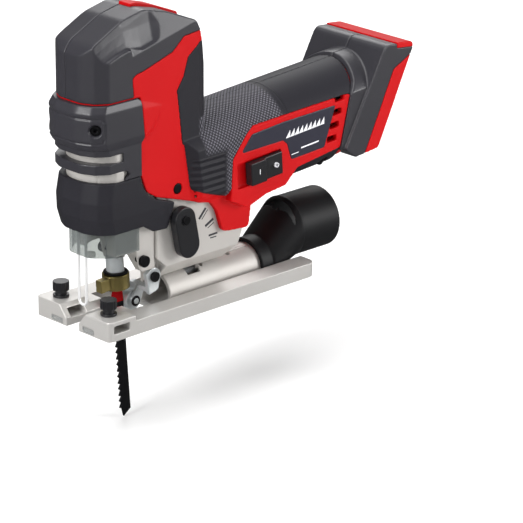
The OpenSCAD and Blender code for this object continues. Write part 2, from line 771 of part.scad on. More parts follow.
module orbit_lever() {
    color(black) {
        difference() {
            translate([0, lever_y[1], 0]) rotate([90, 0, 0]) linear_extrude(lever_y[1] - lever_y[0])
                union() {
                    translate(lever_pivot) circle(r = lever_r);
                    translate(lever_end) circle(r = lever_r);
                    polygon(lever_web());
                }
            across(lever_pivot, 1.5, -40, -20);
        }
        difference() {
            across(lever_pivot, 3, lever_y[1], -8);
            across(lever_pivot, 1.5, -40, -14);
        }
    }
}
function lever_web() = let(d = unit(lever_end - lever_pivot), n = [-d[1], d[0]] * lever_r)
    [lever_pivot + n, lever_end + n, lever_end - n, lever_pivot - n];
module lever_screw() {
    color(steel) {
        across(lever_pivot, 1.5, lever_y[0], -14);
        across(lever_pivot, 2.8, lever_y[0] - 1.2, lever_y[0]);
    }
}
module guide_arm() {
    eye = 5.2;
    color(zinc) difference() {
        union() {
            across(arm_pivot, eye, -14.7, -11.7);
            slab([[11, 19], [9.5, 26], [13, 28.5], [18.5, 28], [20.8, 23], [19, 15], [12, 13]],
                 -14.7, -11.7);
            box([12, -14.7, 14], [17, 4.6, 17]);
            for (s = [-1, 1]) translate([0, s * 3.7, 0])
                slab([[12, 17], [17, 17], [17, 14], [roller_x + 3.4, roller_z - 2.4],
                      [roller_x - 1, roller_z - 3.6], [roller_x - 3.4, roller_z + 1.6]], -0.9, 0.9);
        }
        across(arm_pivot, 2 + run_fit, -40, 0);
        across([roller_x, roller_z], 1.5, -40, 40);
    }
}
module roller_pin() { color(steel) across([roller_x, roller_z], 1.5, -4.6, 4.6); }
module guide_roller() {
    color(steel) difference() {
        across([roller_x, roller_z], roller_r, -2.5, 2.5);
        across([roller_x, roller_z], 1.5 + run_fit, -10, 10);
    }
}

module sole_plate() {
    prong_slope = [[slot_w / 2, -1], [slot_w / 2, 5], [12, prong_h + 0.5], [-12, prong_h + 0.5],
                   [-slot_w / 2, 5], [-slot_w / 2, -1]];
    shoe_plan = [[shoe_x, -shoe_w / 2, 3], [shoe_x + shoe_l, -shoe_w / 2, 6],
                 [shoe_x + shoe_l, shoe_w / 2, 6], [shoe_x, shoe_w / 2, 3]];
    color(alloy) difference() {
        union() {
            plan(soft(shoe_plan), 0, rail_h);
            intersection() {
                plan(soft(shoe_plan), 0, prong_h);
                box([shoe_x, -far, 0], [-15, far, prong_h]);
            }
        }
        // Channel between the rails, and the blade slot
        box([-5, -rail_in, floor_h], [far, rail_in, 20]);
        rotate([90, 0, 90]) translate([0, 0, shoe_x - 1]) linear_extrude(-prong_x - shoe_x - 3)
            polygon(prong_slope);
        box([shoe_x - 1, -slot_w / 2, -1], [20, slot_w / 2, 20]);
        // Parallel guide slot
        box([guide_slot[0], -far, guide_slot[2]], [guide_slot[1], far, guide_slot[3]]);
        for (s = [-1, 1]) translate([knob_x, s * knob_y, 7]) cylinder(r = 2.5 + run_fit, h = 10);
        // Pockets for the clear inserts
        for (s = [-1, 1]) box([shoe_x - 1, s > 0 ? 9 : -19, 1], [shoe_x + 2, s > 0 ? 19 : -9, 4]);
    }
}
module bevel_trough() {
    color(alloy) difference() {
        translate([trough_x[0], 0, bevel_z]) rotate([0, 90, 0])
            tube(trough_r, trough_r - trough_wall, trough_x[1] - trough_x[0]);
        box([0, -60, -60], [far, 60, floor_h]);
        box([47, -10, bevel_z + 4], [57, 10, 60]);
    }
}
module prong_inserts() {
    color(smoke) for (s = [-1, 1])
        box([shoe_x, s > 0 ? 9 : -19, 1], [shoe_x + 2, s > 0 ? 19 : -9, 4]);
}
module guide_knob(side) {
    color(black) translate([knob_x, side * knob_y, 0]) {
        translate([0, 0, 9.6]) cylinder(r = 2.5, h = 4);
        translate([0, 0, prong_h + 0.1]) cylinder(r = 4.9, h = 1.6);
        translate([0, 0, prong_h + 1.6]) cylinder(r = 3.4, h = 3);
        difference() {
            translate([0, 0, prong_h + 4.2]) cylinder(r = 5, h = 5.6);
            for (a = [0:30:330]) rotate([0, 0, a]) translate([5.2, 0, prong_h + 4])
                cylinder(r = 0.5, h = 7, $fn = 16);
        }
    }
}
module guide_knob_left() { guide_knob(-1); }
module guide_knob_right() { guide_knob(1); }

module dust_adaptor() {
    neck_r = trough_r + 2.6;
    tube_x = [135.5, 167.2];
    color(black) difference() {
        union() {
            neck_slice(103.4, neck_r, 10.2);
            hull() {
                neck_slice(113, neck_r + 0.7, 0.4);
                port_slice(tube_x[0], port_r + 0.3, 0.4);
            }
            port_slice(tube_x[0], port_r, tube_x[1] - tube_x[0]);
        }
        hull() {
            neck_slice(112, trough_r - 1.5, 0.4, -20);
            port_slice(tube_x[0] - 4, port_bore_r - 1, 0.4);
        }
        port_slice(tube_x[0] - 5, port_bore_r, 60);
        translate([100, 0, bevel_z]) rotate([0, 90, 0]) cylinder(r = trough_r + run_fit, h = 13);
    }
}
// Slices across X: the neck over the trough, cut level below, and the round port
module neck_slice(x, r, thick, floor_z = 3.3) {
    translate([x, 0, 0]) intersection() {
        translate([0, 0, bevel_z]) rotate([0, 90, 0]) cylinder(r = r, h = thick);
        box([-1, -60, floor_z], [thick + 1, 60, 60]);
    }
}
module port_slice(x, r, thick) {
    translate([x, 0, port_z]) rotate([0, 90, 0]) cylinder(r = r, h = thick);
}

module chip_guard() {
    color(smoke) difference() {
        guard_plan(0, 44.7, 61.8);
        guard_plan(guard_t, 40, 70);
    }
}
module guard_plan(inset, z0, z1) {
    points = [[1.2, -case_low_half + inset, 0], [-20 + inset, -case_low_half + inset, 3],
              [-30 + inset, -9, 8]];
    rear = inset > 0 ? 5 : 0;
    shifted = [[1.2 + rear, -case_low_half + inset, 0], points[1], points[2]];
    plan(soft(concat(shifted, flip(shifted))), z0, z1);
}

module switch_slider(side) {
    color(black) drive() {
        box([84.5, side > 0 ? 26.2 : -29.6, 63.6], [112, side > 0 ? 29.6 : -26.2, 77.6]);
        box([84.5, side > 0 ? 29.6 : -31.6, 63.6], [97, side > 0 ? 31.6 : -29.6, 77.6]);
    }
}
module switch_slider_left() { switch_slider(-1); }
module switch_slider_right() { switch_slider(1); }

housing_left();
housing_right();
head_cap_left();
head_cap_right();
head_strip();
foot_strip();
front_collar();
lower_cover();
collar_screws();
gear_case();
gear_case_front();
gear_case_screws();
grip_left();
grip_right();
label_left();
label_right();
foot_left();
foot_right();
battery_rails();
terminal_block();
battery_contacts();
motor_stator();
motor_bearings();
control_board();
switch_module();
plunger_bushes();
crank_bearing();
guard_wire();
housing_screws();
work_light();
bevel_shoe();
bevel_bolt();
guide_pivot_screw();
rotor_core();
rotor_shaft();
cooling_fan();
motor_pinion();
crank_gear();
crank_axle();
crank_pin();
plunger_rod();
plunger_yoke();
clamp_body();
clamp_ring();
saw_blade();
orbit_lever();
lever_screw();
guide_arm();
roller_pin();
guide_roller();
sole_plate();
bevel_trough();
prong_inserts();
guide_knob_left();
guide_knob_right();
dust_adaptor();
chip_guard();
switch_slider_left();
switch_slider_right();
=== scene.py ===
import bpy
import bmesh
import math
from mathutils import Matrix, Vector

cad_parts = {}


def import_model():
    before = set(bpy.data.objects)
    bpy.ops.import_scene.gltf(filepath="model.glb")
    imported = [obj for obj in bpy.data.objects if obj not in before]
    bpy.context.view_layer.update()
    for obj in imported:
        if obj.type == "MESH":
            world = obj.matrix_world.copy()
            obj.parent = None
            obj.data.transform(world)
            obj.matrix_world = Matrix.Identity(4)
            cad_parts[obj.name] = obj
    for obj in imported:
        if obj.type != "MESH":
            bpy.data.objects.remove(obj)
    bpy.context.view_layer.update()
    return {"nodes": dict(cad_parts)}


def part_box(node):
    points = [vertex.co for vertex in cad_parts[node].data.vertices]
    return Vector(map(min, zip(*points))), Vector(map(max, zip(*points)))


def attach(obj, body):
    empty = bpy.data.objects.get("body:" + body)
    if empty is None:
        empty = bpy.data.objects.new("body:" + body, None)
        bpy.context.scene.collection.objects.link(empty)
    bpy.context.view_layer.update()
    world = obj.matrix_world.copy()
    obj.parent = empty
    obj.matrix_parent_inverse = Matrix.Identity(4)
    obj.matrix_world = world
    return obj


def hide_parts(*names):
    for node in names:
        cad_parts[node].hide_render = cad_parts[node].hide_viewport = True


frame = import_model()
mm = 0.001
lean = math.radians(4)  # the drive's lean, from upright
motorHeight = 80.6 * mm  # of the motor's axis along the leaning plunger
print("frame: the packed model is in")


def toLinear(hexCode):
    # sRGB hex to the linear colour that the shaders want
    channels = [int(hexCode[i:i + 2], 16) / 255 for i in (1, 3, 5)]
    return [c / 12.92 if c <= 0.04045 else ((c + 0.055) / 1.055) ** 2.4 for c in channels] + [1.0]


def addNode(tree, kind, values=None, links=None, **settings):
    # Adds one node, sets its properties and inputs, and links what feeds it
    node = tree.nodes.new(kind)
    for key, value in settings.items():
        setattr(node, key, value)
    for key, value in (values or {}).items():
        node.inputs[key].default_value = value
    for key, socket in (links or {}).items():
        tree.links.new(socket, node.inputs[key])
    return node


def meshPiece(name, mesh, body, material, replaced=()):
    # Links a finished mesh as a piece that rides on a body of the model
    piece = bpy.data.objects.new(name, mesh)
    bpy.context.scene.collection.objects.link(piece)
    mesh.materials.clear()
    mesh.materials.append(material)
    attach(piece, body)
    if replaced:
        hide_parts(*replaced)
    return piece


def bakeModifiers(holder):
    # The mesh with its modifiers applied, without the holder object
    graph = bpy.context.evaluated_depsgraph_get()
    mesh = bpy.data.meshes.new_from_object(holder.evaluated_get(graph))
    old = holder.data
    bpy.data.objects.remove(holder)
    if old.users == 0:
        bpy.data.meshes.remove(old)
    return mesh


def cadShape(*nodes):
    # A closed bmesh of these nodes as packed
    shape = bmesh.new()
    for node in nodes:
        shape.from_mesh(frame["nodes"][node].data)
    bmesh.ops.remove_doubles(shape, verts=shape.verts, dist=1e-7)
    return shape


def toMesh(shape, name):
    # The mesh of a bmesh, which is then freed
    mesh = bpy.data.meshes.new(name)
    shape.to_mesh(mesh)
    shape.free()
    return mesh


def holderFor(shape, name="holder"):
    # An object to hang modifiers on
    holder = bpy.data.objects.new(name, toMesh(shape, name))
    bpy.context.scene.collection.objects.link(holder)
    return holder


def addSlab(shape, outline, low, high, axis="y"):
    # A closed prism: outline in (x, z) pushed along y, or in (x, y) pushed along z. Millimetres
    def place(point, depth):
        if axis == "y":
            return Vector((point[0], depth, point[1])) * mm
        return Vector((point[0], point[1], depth)) * mm
    lowRing = [shape.verts.new(place(p, low)) for p in outline]
    highRing = [shape.verts.new(place(p, high)) for p in outline]
    faces = [shape.faces.new(lowRing), shape.faces.new(list(reversed(highRing)))]
    count = len(outline)
    for i in range(count):
        j = (i + 1) % count
        faces.append(shape.faces.new((lowRing[j], lowRing[i], highRing[i], highRing[j])))
    bmesh.ops.recalc_face_normals(shape, faces=faces)


def addRod(shape, start, end, radius, segments=32, endRadius=None):
    # A closed round bar between two points, in millimetres
    a, b = Vector(start) * mm, Vector(end) * mm
    turn = (b - a).to_track_quat("Z", "Y").to_matrix().to_4x4()
    bmesh.ops.create_cone(shape, cap_ends=True, segments=segments, radius1=radius * mm,
                          radius2=(radius if endRadius is None else endRadius) * mm,
                          depth=(b - a).length, matrix=Matrix.Translation((a + b) / 2) @ turn)


def carve(holder, cutter):
    # Cuts one closed shape out of another
    tool = holderFor(cutter, "tool")
    change = holder.modifiers.new("carve", "BOOLEAN")
    change.object, change.operation, change.solver = tool, "DIFFERENCE", "MANIFOLD"
    graph = bpy.context.evaluated_depsgraph_get()
    mesh = bpy.data.meshes.new_from_object(holder.evaluated_get(graph))
    holder.modifiers.clear()
    holder.data = mesh
    bpy.data.objects.remove(tool)


def soften(holder, voxel, rounds):
    # Moulded look: fills the shape with small voxels and rounds its edges by smoothing
    grid = holder.modifiers.new("grid", "REMESH")
    grid.mode, grid.voxel_size, grid.use_smooth_shade = "VOXEL", voxel * mm, True
    smooth = holder.modifiers.new("smooth", "SMOOTH")
    smooth.factor, smooth.iterations = 0.5, rounds
    mesh = bakeModifiers(holder)
    mesh.polygons.foreach_set("use_smooth", [True] * len(mesh.polygons))
    return mesh


def addTube(shape, path, radius, sides=8):
    # A round closed loop along a path of points in millimetres, as a cutter for a groove
    points = [Vector(p) * mm for p in path]
    count, rings = len(points), []
    for i, point in enumerate(points):
        along = (points[(i + 1) % count] - points[i - 1]).normalized()
        across = Vector((0, 0, 1)) if abs(along.z) < 0.9 else Vector((0, 1, 0))
        side = along.cross(across).normalized()
        other = along.cross(side)
        angles = (2 * math.pi * k / sides for k in range(sides))
        rings.append([shape.verts.new(point + (side * math.cos(a) + other * math.sin(a)) * radius * mm)
                      for a in angles])
    faces = [shape.faces.new((rings[i][k], rings[i][(k + 1) % sides],
                              rings[(i + 1) % count][(k + 1) % sides], rings[(i + 1) % count][k]))
             for i in range(count) for k in range(sides)]
    bmesh.ops.recalc_face_normals(shape, faces=faces)


def addLoft(shape, sections):
    # A closed body through equal rings of points in millimetres
    rings = [[shape.verts.new(Vector(p) * mm) for p in ring] for ring in sections]
    count = len(rings[0])
    faces = [shape.faces.new((low[k], low[(k + 1) % count], high[(k + 1) % count], high[k]))
             for low, high in zip(rings, rings[1:]) for k in range(count)]
    faces += [shape.faces.new(list(reversed(rings[0]))), shape.faces.new(rings[-1])]
    bmesh.ops.recalc_face_normals(shape, faces=faces)


def cornered(points, steps=6):
    # The path with more points along each side, so that a tube follows it closely
    out = []
    for a, b in zip(points, points[1:] + points[:1]):
        out += [tuple(a[k] + (b[k] - a[k]) * i / steps for k in range(3)) for i in range(steps)]
    return out


def finish(name, colour, tint, metallic=0.0, roughness=0.45, tintMm=40, grainMm=0.4,
           grainDepthMm=0.012, roughSpread=0.06, specular=0.5):
    # A procedural finish: slow colour drift, fine surface grain and uneven gloss
    material = bpy.data.materials.new(name)
    material.use_nodes = True
    tree = material.node_tree
    tree.nodes.clear()
    out = addNode(tree, "ShaderNodeOutputMaterial")
    place = addNode(tree, "ShaderNodeTexCoord").outputs["Object"]
    drift = addNode(tree, "ShaderNodeTexNoise", {"Scale": 1000 / tintMm, "Detail": 3.0},
                    {"Vector": place})
    grain = addNode(tree, "ShaderNodeTexNoise", {"Scale": 1000 / grainMm, "Detail": 2.0},
                    {"Vector": place})
    mix = addNode(tree, "ShaderNodeMix", {"A": toLinear(colour), "B": toLinear(tint)},
                  {"Factor": drift.outputs["Fac"]}, data_type="RGBA")
    gloss = addNode(tree, "ShaderNodeMapRange",
                    {"To Min": roughness - roughSpread, "To Max": roughness + roughSpread},
                    {"Value": grain.outputs["Fac"]})
    bump = addNode(tree, "ShaderNodeBump", {"Strength": 1.0, "Distance": grainDepthMm * mm},
                   {"Height": grain.outputs["Fac"]})
    shader = addNode(tree, "ShaderNodeBsdfPrincipled",
                     {"Metallic": metallic, "Specular IOR Level": specular},
                     {"Base Color": mix.outputs["Result"], "Roughness": gloss.outputs["Result"],
                      "Normal": bump.outputs["Normal"]})
    tree.links.new(shader.outputs["BSDF"], out.inputs["Surface"])
    return material


# Glass-filled nylon, moulded and satin: strong red with a soft broad shine
redNylon = finish("redNylonSatin", "#bc070d", "#b1050a", roughness=0.42, tintMm=60,
                  grainMm=0.5, grainDepthMm=0.006, specular=0.1)
# Glass-filled nylon with a spark-eroded texture: matt dark grey that lights up softly
charcoalNylon = finish("charcoalNylonMatt", "#2e2d33", "#28272d", roughness=0.4, tintMm=50,
                       grainMm=0.45, grainDepthMm=0.02, specular=0.6)
# Thermoplastic rubber moulded over the shell: darker, with hardly any shine
softRubber = finish("softGripRubber", "#242329", "#201f25", roughness=0.55, tintMm=30,
                    grainMm=0.5, grainDepthMm=0.02, specular=0.25)
# Black moulded ABS: smooth, with clear highlights
blackAbs = finish("blackAbsSatin", "#1c1c1f", "#17171a", roughness=0.34, grainMm=0.6,
                  grainDepthMm=0.006)
# Black nylon on the hose adaptor: duller and deeper, with a wide faint shine
hoseNylon = finish("blackNylonMatt", "#18181a", "#141416", roughness=0.5, grainMm=0.5,
                   grainDepthMm=0.012, specular=0.22)
# Die-cast alloy, bead blasted: pale warm grey with a fine even sparkle
castAlloy = finish("castAlloyBlasted", "#cac7c3", "#c4c0bb", metallic=0.45, roughness=0.54,
                   tintMm=25, grainMm=0.35, grainDepthMm=0.02, roughSpread=0.1)
# The sole's die-cast alloy, milled underneath: whiter, with a satin sheen
soleAlloy = finish("soleAlloySatin", "#cccac7", "#c1beba", metallic=0.5, roughness=0.46,
                   tintMm=30, grainMm=0.4, grainDepthMm=0.015, roughSpread=0.1)
# Ground steel: mid grey and bright
groundSteel = finish("groundSteel", "#c3c5c8", "#b2b4b8", metallic=0.75, roughness=0.3,
                     tintMm=6, grainMm=0.3, grainDepthMm=0.006)
# Zinc-plated steel: cool and slightly cloudy
zincPlate = finish("zincPlatedSteel", "#d9dddf", "#c4cacc", metallic=0.55, roughness=0.3,
                   tintMm=5, grainMm=0.5, grainDepthMm=0.006)
# Chromed wire: nearly a mirror
chromeWire = finish("chromedWire", "#efefef", "#e6e6e6", metallic=0.35, roughness=0.2,
                    grainMm=0.8, grainDepthMm=0.002, roughSpread=0.03)
# Yellow-chromated steel on the clamp ring: olive brass with a soft shine
chromateSteel = finish("yellowChromatedSteel", "#8f8454", "#7b6d42", metallic=0.9, roughness=0.36,
                       tintMm=6, grainMm=0.4, grainDepthMm=0.01)
# Black-oxided steel: almost black, with a dull metal shine
blackOxide = finish("blackOxidedSteel", "#2a2a2c", "#222224", metallic=0.9, roughness=0.38,
                    tintMm=4, grainMm=0.4, grainDepthMm=0.008)
# Enamelled copper winding, sintered bronze and green solder mask, all inside the casing
copperWire = finish("enamelledCopper", "#b0703c", "#9c5d2e", metallic=0.9, roughness=0.35,
                    tintMm=3, grainMm=0.8, grainDepthMm=0.05)
sinteredBronze = finish("sinteredBronze", "#8f7a45", "#7d6a3b", metallic=0.9, roughness=0.5,
                        tintMm=4, grainMm=0.3, grainDepthMm=0.02)
solderMask = finish("greenSolderMask", "#1f6b3b", "#1a5f34", roughness=0.3, tintMm=8,
                    grainMm=1.2, grainDepthMm=0.01)
# Printed film: blue-black and smooth
labelFilm = finish("printedFilm", "#2a2a38", "#262633", roughness=0.36, tintMm=30,
                   grainMm=0.7, grainDepthMm=0.004)


def gripPattern():
    # The grip's rubber with raised dots at the hand, ribs at the finger rest and a welt at the back; the
    # dots' tops are coloured lighter as a painted highlight
    dots = {"pitch": 2.6, "height": 0.6, "start": 45.0, "end": 111.0, "fade": 3.0,
            "round": 31.5, "top": 33.5, "paintedHighlightTips": "#8f8d98", "share": 0.75}
    ribs = {"pitch": 4.2, "height": 0.8, "low": 71.0, "high": 94.0, "from": 37.0, "to": 62.0, "fade": 1.5}
    seam = {"start": 113.0, "end": 115.2, "height": 0.5, "fade": 0.7}
    material = softRubber.copy()
    material.name = "softGripRubberPatterned"
    tree = material.node_tree
    shader = next(n for n in tree.nodes if n.type == "BSDF_PRINCIPLED")
    grainBump = shader.inputs["Normal"].links[0].from_node
    place = next(n for n in tree.nodes if n.type == "TEX_COORD").outputs["Object"]
    # Unroll the barrel: u along the motor axis, arc round it
    upright = addNode(tree, "ShaderNodeMapping",
                      {"Rotation": (0, lean, 0), "Location": (0, 0, -motorHeight)}, {"Vector": place})
    axes = addNode(tree, "ShaderNodeSeparateXYZ", links={"Vector": upright.outputs["Vector"]})
    row = addNode(tree, "ShaderNodeSeparateXYZ", links={"Vector": place})

    def maths(operation, *inputs, clamp=False):
        node = addNode(tree, "ShaderNodeMath", operation=operation, use_clamp=clamp)
        for i, value in enumerate(inputs):
            if isinstance(value, (int, float)):
                node.inputs[i].default_value = value
            else:
                tree.links.new(value, node.inputs[i])
        return node.outputs["Value"]

    def past(value, start, fade):
        return maths("DIVIDE", maths("SUBTRACT", value, start * mm), fade * mm, clamp=True)

    def before(value, end, fade):
        return maths("DIVIDE", maths("SUBTRACT", end * mm, value), fade * mm, clamp=True)

    def between(value, low, high, fade):
        return maths("MULTIPLY", past(value, low, fade), before(value, high, fade))

    def wave(value, pitch):
        return maths("SINE", maths("MULTIPLY", value, math.pi / (pitch * mm)))

    along, rowX, rowZ = axes.outputs["X"], row.outputs["X"], row.outputs["Z"]
    arc = maths("MULTIPLY", maths("ARCTAN2", axes.outputs["Y"], axes.outputs["Z"]), dots["round"] * mm)
    dotRows = [maths("ABSOLUTE", wave(maths(way, along, arc), dots["pitch"]))
               for way in ("ADD", "SUBTRACT")]
    dot = maths("POWER", maths("MULTIPLY", *dotRows), 1.5)
    offRibs = maths("MAXIMUM", past(rowZ, ribs["high"], 4.0), past(rowX, ribs["to"], 3.0))
    dotZone = maths("MULTIPLY", between(rowX, dots["start"], dots["end"], dots["fade"]), offRibs)
    dotZone = maths("MULTIPLY", dotZone, before(axes.outputs["Z"], dots["top"], 1.0))
    dotHeight = maths("MULTIPLY", maths("MULTIPLY", dot, dotZone), dots["height"] * mm)
    ribZone = maths("MULTIPLY", between(rowX, ribs["from"], ribs["to"], ribs["fade"]),
                    between(rowZ, ribs["low"], ribs["high"], ribs["fade"]))
    rib = wave(rowZ, ribs["pitch"] / 2)
    ribHeight = maths("MULTIPLY", maths("MULTIPLY", rib, ribZone), ribs["height"] / 2 * mm)
    weltZone = between(rowX, seam["start"], seam["end"], seam["fade"])
    welt = maths("MULTIPLY", weltZone, seam["height"] * mm)
    height = maths("ADD", maths("ADD", dotHeight, ribHeight), welt)
    raised = addNode(tree, "ShaderNodeBump", {"Strength": 1.0, "Distance": 1.0},
                     {"Height": height, "Normal": grainBump.outputs["Normal"]})
    tree.links.new(raised.outputs["Normal"], shader.inputs["Normal"])
    base = shader.inputs["Base Color"].links[0].from_socket
    # Painted highlight: the top of each raised dot is coloured light grey in place of the shine on the dots
    paintedHighlightTips = addNode(tree, "ShaderNodeMix", {"B": toLinear(dots["paintedHighlightTips"])},
                   {"Factor": maths("MULTIPLY", maths("MULTIPLY", dot, dotZone), dots["share"]), "A": base},
                   data_type="RGBA")
    tree.links.new(paintedHighlightTips.outputs["Result"], shader.inputs["Base Color"])
    return material


gripRubber = gripPattern()


def bladePaint():
    # The blade's black finish with a red painted band under the clamp
    band = {"low": 8.0, "high": 15.5, "colour": "#c4121a"}
    material = blackOxide.copy()
    material.name = "blackBladeRedBand"
    tree = material.node_tree
    shader = next(n for n in tree.nodes if n.type == "BSDF_PRINCIPLED")
    place = next(n for n in tree.nodes if n.type == "TEX_COORD").outputs["Object"]
    axes = addNode(tree, "ShaderNodeSeparateXYZ", links={"Vector": place})
    above = addNode(tree, "ShaderNodeMath", {1: band["low"] * mm}, {0: axes.outputs["Z"]},
                    operation="GREATER_THAN")
    below = addNode(tree, "ShaderNodeMath", {1: band["high"] * mm}, {0: axes.outputs["Z"]},
                    operation="LESS_THAN")
    inside = addNode(tree, "ShaderNodeMath", links={0: above.outputs["Value"], 1: below.outputs["Value"]},
                     operation="MULTIPLY")
    base = shader.inputs["Base Color"].links[0].from_socket
    paint = addNode(tree, "ShaderNodeMix", {"B": toLinear(band["colour"])},
                    {"Factor": inside.outputs["Value"], "A": base}, data_type="RGBA")
    tree.links.new(paint.outputs["Result"], shader.inputs["Base Color"])
    return material


bladeFinish = bladePaint()


def smokedPlastic(name, colour, alpha):
    # Clear moulded polycarbonate: you see through it, with a grey-green tint and bright edges
    material = bpy.data.materials.new(name)
    material.use_nodes = True
    tree = material.node_tree
    tree.nodes.clear()
    out = addNode(tree, "ShaderNodeOutputMaterial")
    place = addNode(tree, "ShaderNodeTexCoord").outputs["Object"]
    ripple = addNode(tree, "ShaderNodeTexNoise", {"Scale": 120.0, "Detail": 1.0}, {"Vector": place})
    bump = addNode(tree, "ShaderNodeBump", {"Distance": 0.05 * mm}, {"Height": ripple.outputs["Fac"]})
    clear = addNode(tree, "ShaderNodeBsdfTransparent", {"Color": toLinear(colour)})
    shine = addNode(tree, "ShaderNodeBsdfPrincipled",
                    {"Base Color": toLinear("#9a9ea0"), "Roughness": 0.12, "Coat Weight": 0.3},
                    {"Normal": bump.outputs["Normal"]})
    rim = addNode(tree, "ShaderNodeLayerWeight", {"Blend": 0.35}, {"Normal": bump.outputs["Normal"]})
    share = addNode(tree, "ShaderNodeMapRange", {"To Min": alpha, "To Max": min(1.0, alpha + 0.5)},
                    {"Value": rim.outputs["Facing"]})
    both = addNode(tree, "ShaderNodeMixShader",
                   links={"Fac": share.outputs["Result"], 1: clear.outputs["BSDF"],
                          2: shine.outputs["BSDF"]})
    tree.links.new(both.outputs["Shader"], out.inputs["Surface"])
    return material


# The chip guard is faintly smoked; the inserts and the lamp's lens are clearer
smokedClear = smokedPlastic("smokedPolycarbonate", "#cccfcc", 0.11)
clearInsert = smokedPlastic("clearPolycarbonate", "#ececea", 0.22)
print("materials: finishes are ready")


# Nodes that keep their own mesh get a finish too
keptFinishes = {
    "battery_rails": blackAbs, "terminal_block": blackAbs, "battery_contacts": copperWire,
    "motor_stator": copperWire, "motor_bearings": groundSteel, "control_board": solderMask,
    "switch_module": blackAbs, "plunger_bushes": sinteredBronze, "crank_bearing": groundSteel,
    "bevel_shoe": groundSteel, "bevel_bolt": blackOxide, "rotor_core": groundSteel,
    "rotor_shaft": groundSteel, "cooling_fan": blackAbs, "motor_pinion": groundSteel,
    "crank_gear": groundSteel, "crank_axle": groundSteel, "crank_pin": groundSteel,
    "plunger_rod": groundSteel, "plunger_yoke": groundSteel, "work_light": clearInsert,
    "guard_wire": chromeWire, "prong_inserts": clearInsert, "guide_roller": zincPlate,
    "roller_pin": groundSteel,
}
for node, material in keptFinishes.items():
    mesh = frame["nodes"][node].data
    mesh.materials.clear()
    mesh.materials.append(material)

# Moulded and cast pieces, rounded from the model's own solids
mouldings = [
    # piece, nodes, body, slot, finish, voxel in mm, smoothing rounds
    ("shellLeft", ["housing_left"], "housing", "red_shell", redNylon, 0.5, 5),
    ("shellRight", ["housing_right"], "housing", "red_shell", redNylon, 0.5, 5),
    ("capLeft", ["head_cap_left"], "housing", "charcoal_shell", charcoalNylon, 0.5, 5),
    ("capRight", ["head_cap_right"], "housing", "charcoal_shell", charcoalNylon, 0.5, 5),
    ("crownStrip", ["head_strip"], "housing", "red_shell", redNylon, 0.3, 3),
    ("gripLeft", ["grip_left"], "housing", "soft_grip", gripRubber, 0.4, 6),
    ("gripRight", ["grip_right"], "housing", "soft_grip", gripRubber, 0.4, 6),
    ("footLeft", ["foot_left"], "housing", "charcoal_shell", charcoalNylon, 0.5, 6),
    ("footStrip", ["foot_strip"], "housing", "red_shell", redNylon, 0.35, 4),
    ("footRight", ["foot_right"], "housing", "charcoal_shell", charcoalNylon, 0.5, 6),
    ("frontCollar", ["front_collar"], "housing", "charcoal_shell", charcoalNylon, 0.4, 3),
    ("lowerCover", ["lower_cover"], "housing", "soft_grip", softRubber, 0.45, 5),
    ("caseFront", ["gear_case_front"], "housing", "alloy", castAlloy, 0.5, 3),
    ("caseBody", ["gear_case"], "housing", "alloy", castAlloy, 0.5, 3),
    ("leverPaddle", ["orbit_lever"], "orbit_lever", "black_plastic", blackAbs, 0.3, 6),
    ("leverScrew", ["lever_screw"], "orbit_lever", "steel", blackOxide, 0.2, 2),
    ("plungerClamp", ["clamp_body"], "plunger", "steel", zincPlate, 0.22, 2),
    ("clampCollar", ["clamp_ring"], "clamp_ring", "bronze", chromateSteel, 0.25, 3),
    ("rollerArm", ["guide_arm"], "guide_arm", "zinc", zincPlate, 0.22, 3),
    ("armScrew", ["guide_pivot_screw"], "housing", "black_oxide", blackOxide, 0.2, 2),
    ("caseScrews", ["gear_case_screws"], "housing", "black_oxide", blackOxide, 0.2, 2),
    ("shellScrews", ["housing_screws"], "housing", "black_oxide", blackOxide, 0.25, 2),
    ("collarScrews", ["collar_screws"], "housing", "black_oxide", blackOxide, 0.2, 2),
    ("solePlate", ["sole_plate"], "shoe", "alloy", soleAlloy, 0.5, 3),
    ("tiltTrough", ["bevel_trough"], "shoe", "alloy", castAlloy, 0.4, 2),
    ("hoseAdaptor", ["dust_adaptor"], "dust_adaptor", "black_plastic", hoseNylon, 0.5, 6),
    ("chipScreen", ["chip_guard"], "chip_guard", "clear", smokedClear, 0.35, 3),
    ("guideKnobLeft", ["guide_knob_left"], "guide_knob_left", "black_plastic", blackAbs, 0.22, 3),
    ("guideKnobRight", ["guide_knob_right"], "guide_knob_right", "black_plastic", blackAbs, 0.22, 3),
    ("sliderLeft", ["switch_slider_left"], "switch_slider", "black_plastic", blackAbs, 0.3, 4),
    ("sliderRight", ["switch_slider_right"], "switch_slider", "black_plastic", blackAbs, 0.3, 4),
    ("labelLeft", ["label_left"], "housing", "label", labelFilm, 0.3, 2),
    ("labelRight", ["label_right"], "housing", "label", labelFilm, 0.3, 2),
    ("sawBlade", ["saw_blade"], "blade", "black_oxide", bladeFinish, 0.16, 1),
]


def crownCutter(side):
    # The scooped panel between the head's two crown ridges
    crown = [(-36.5, 167, 157), (-33, 172, 160.5), (-25.4, 177.3, 163.5), (-16, 182, 167),
             (-9, 185.2, 168.6), (-3, 186.8, 167.4), (2, 187.8, 166.9), (11, 188.6, 169.3),
             (20, 186.4, 171.2), (31, 181, 175)]
    sections = []
    for x, high, low in crown:
        out = max(0, x - 11) * 0.28  # the panel runs out towards the back
        scoop = [(-22.3 - out, low), (-20.4 - out, low + (high - low) * 0.1),
                 (-19.1 - out, low + (high - low) * 0.3), (-17.4 - out, low + (high - low) * 0.65),
                 (-16.4 - out, high), (-16.4 - out, 200), (-34, 200), (-34, low)]
        sections.append([(x, -side * y, z) for y, z in scoop])
    shape = bmesh.new()
    addLoft(shape, sections)
    return shape


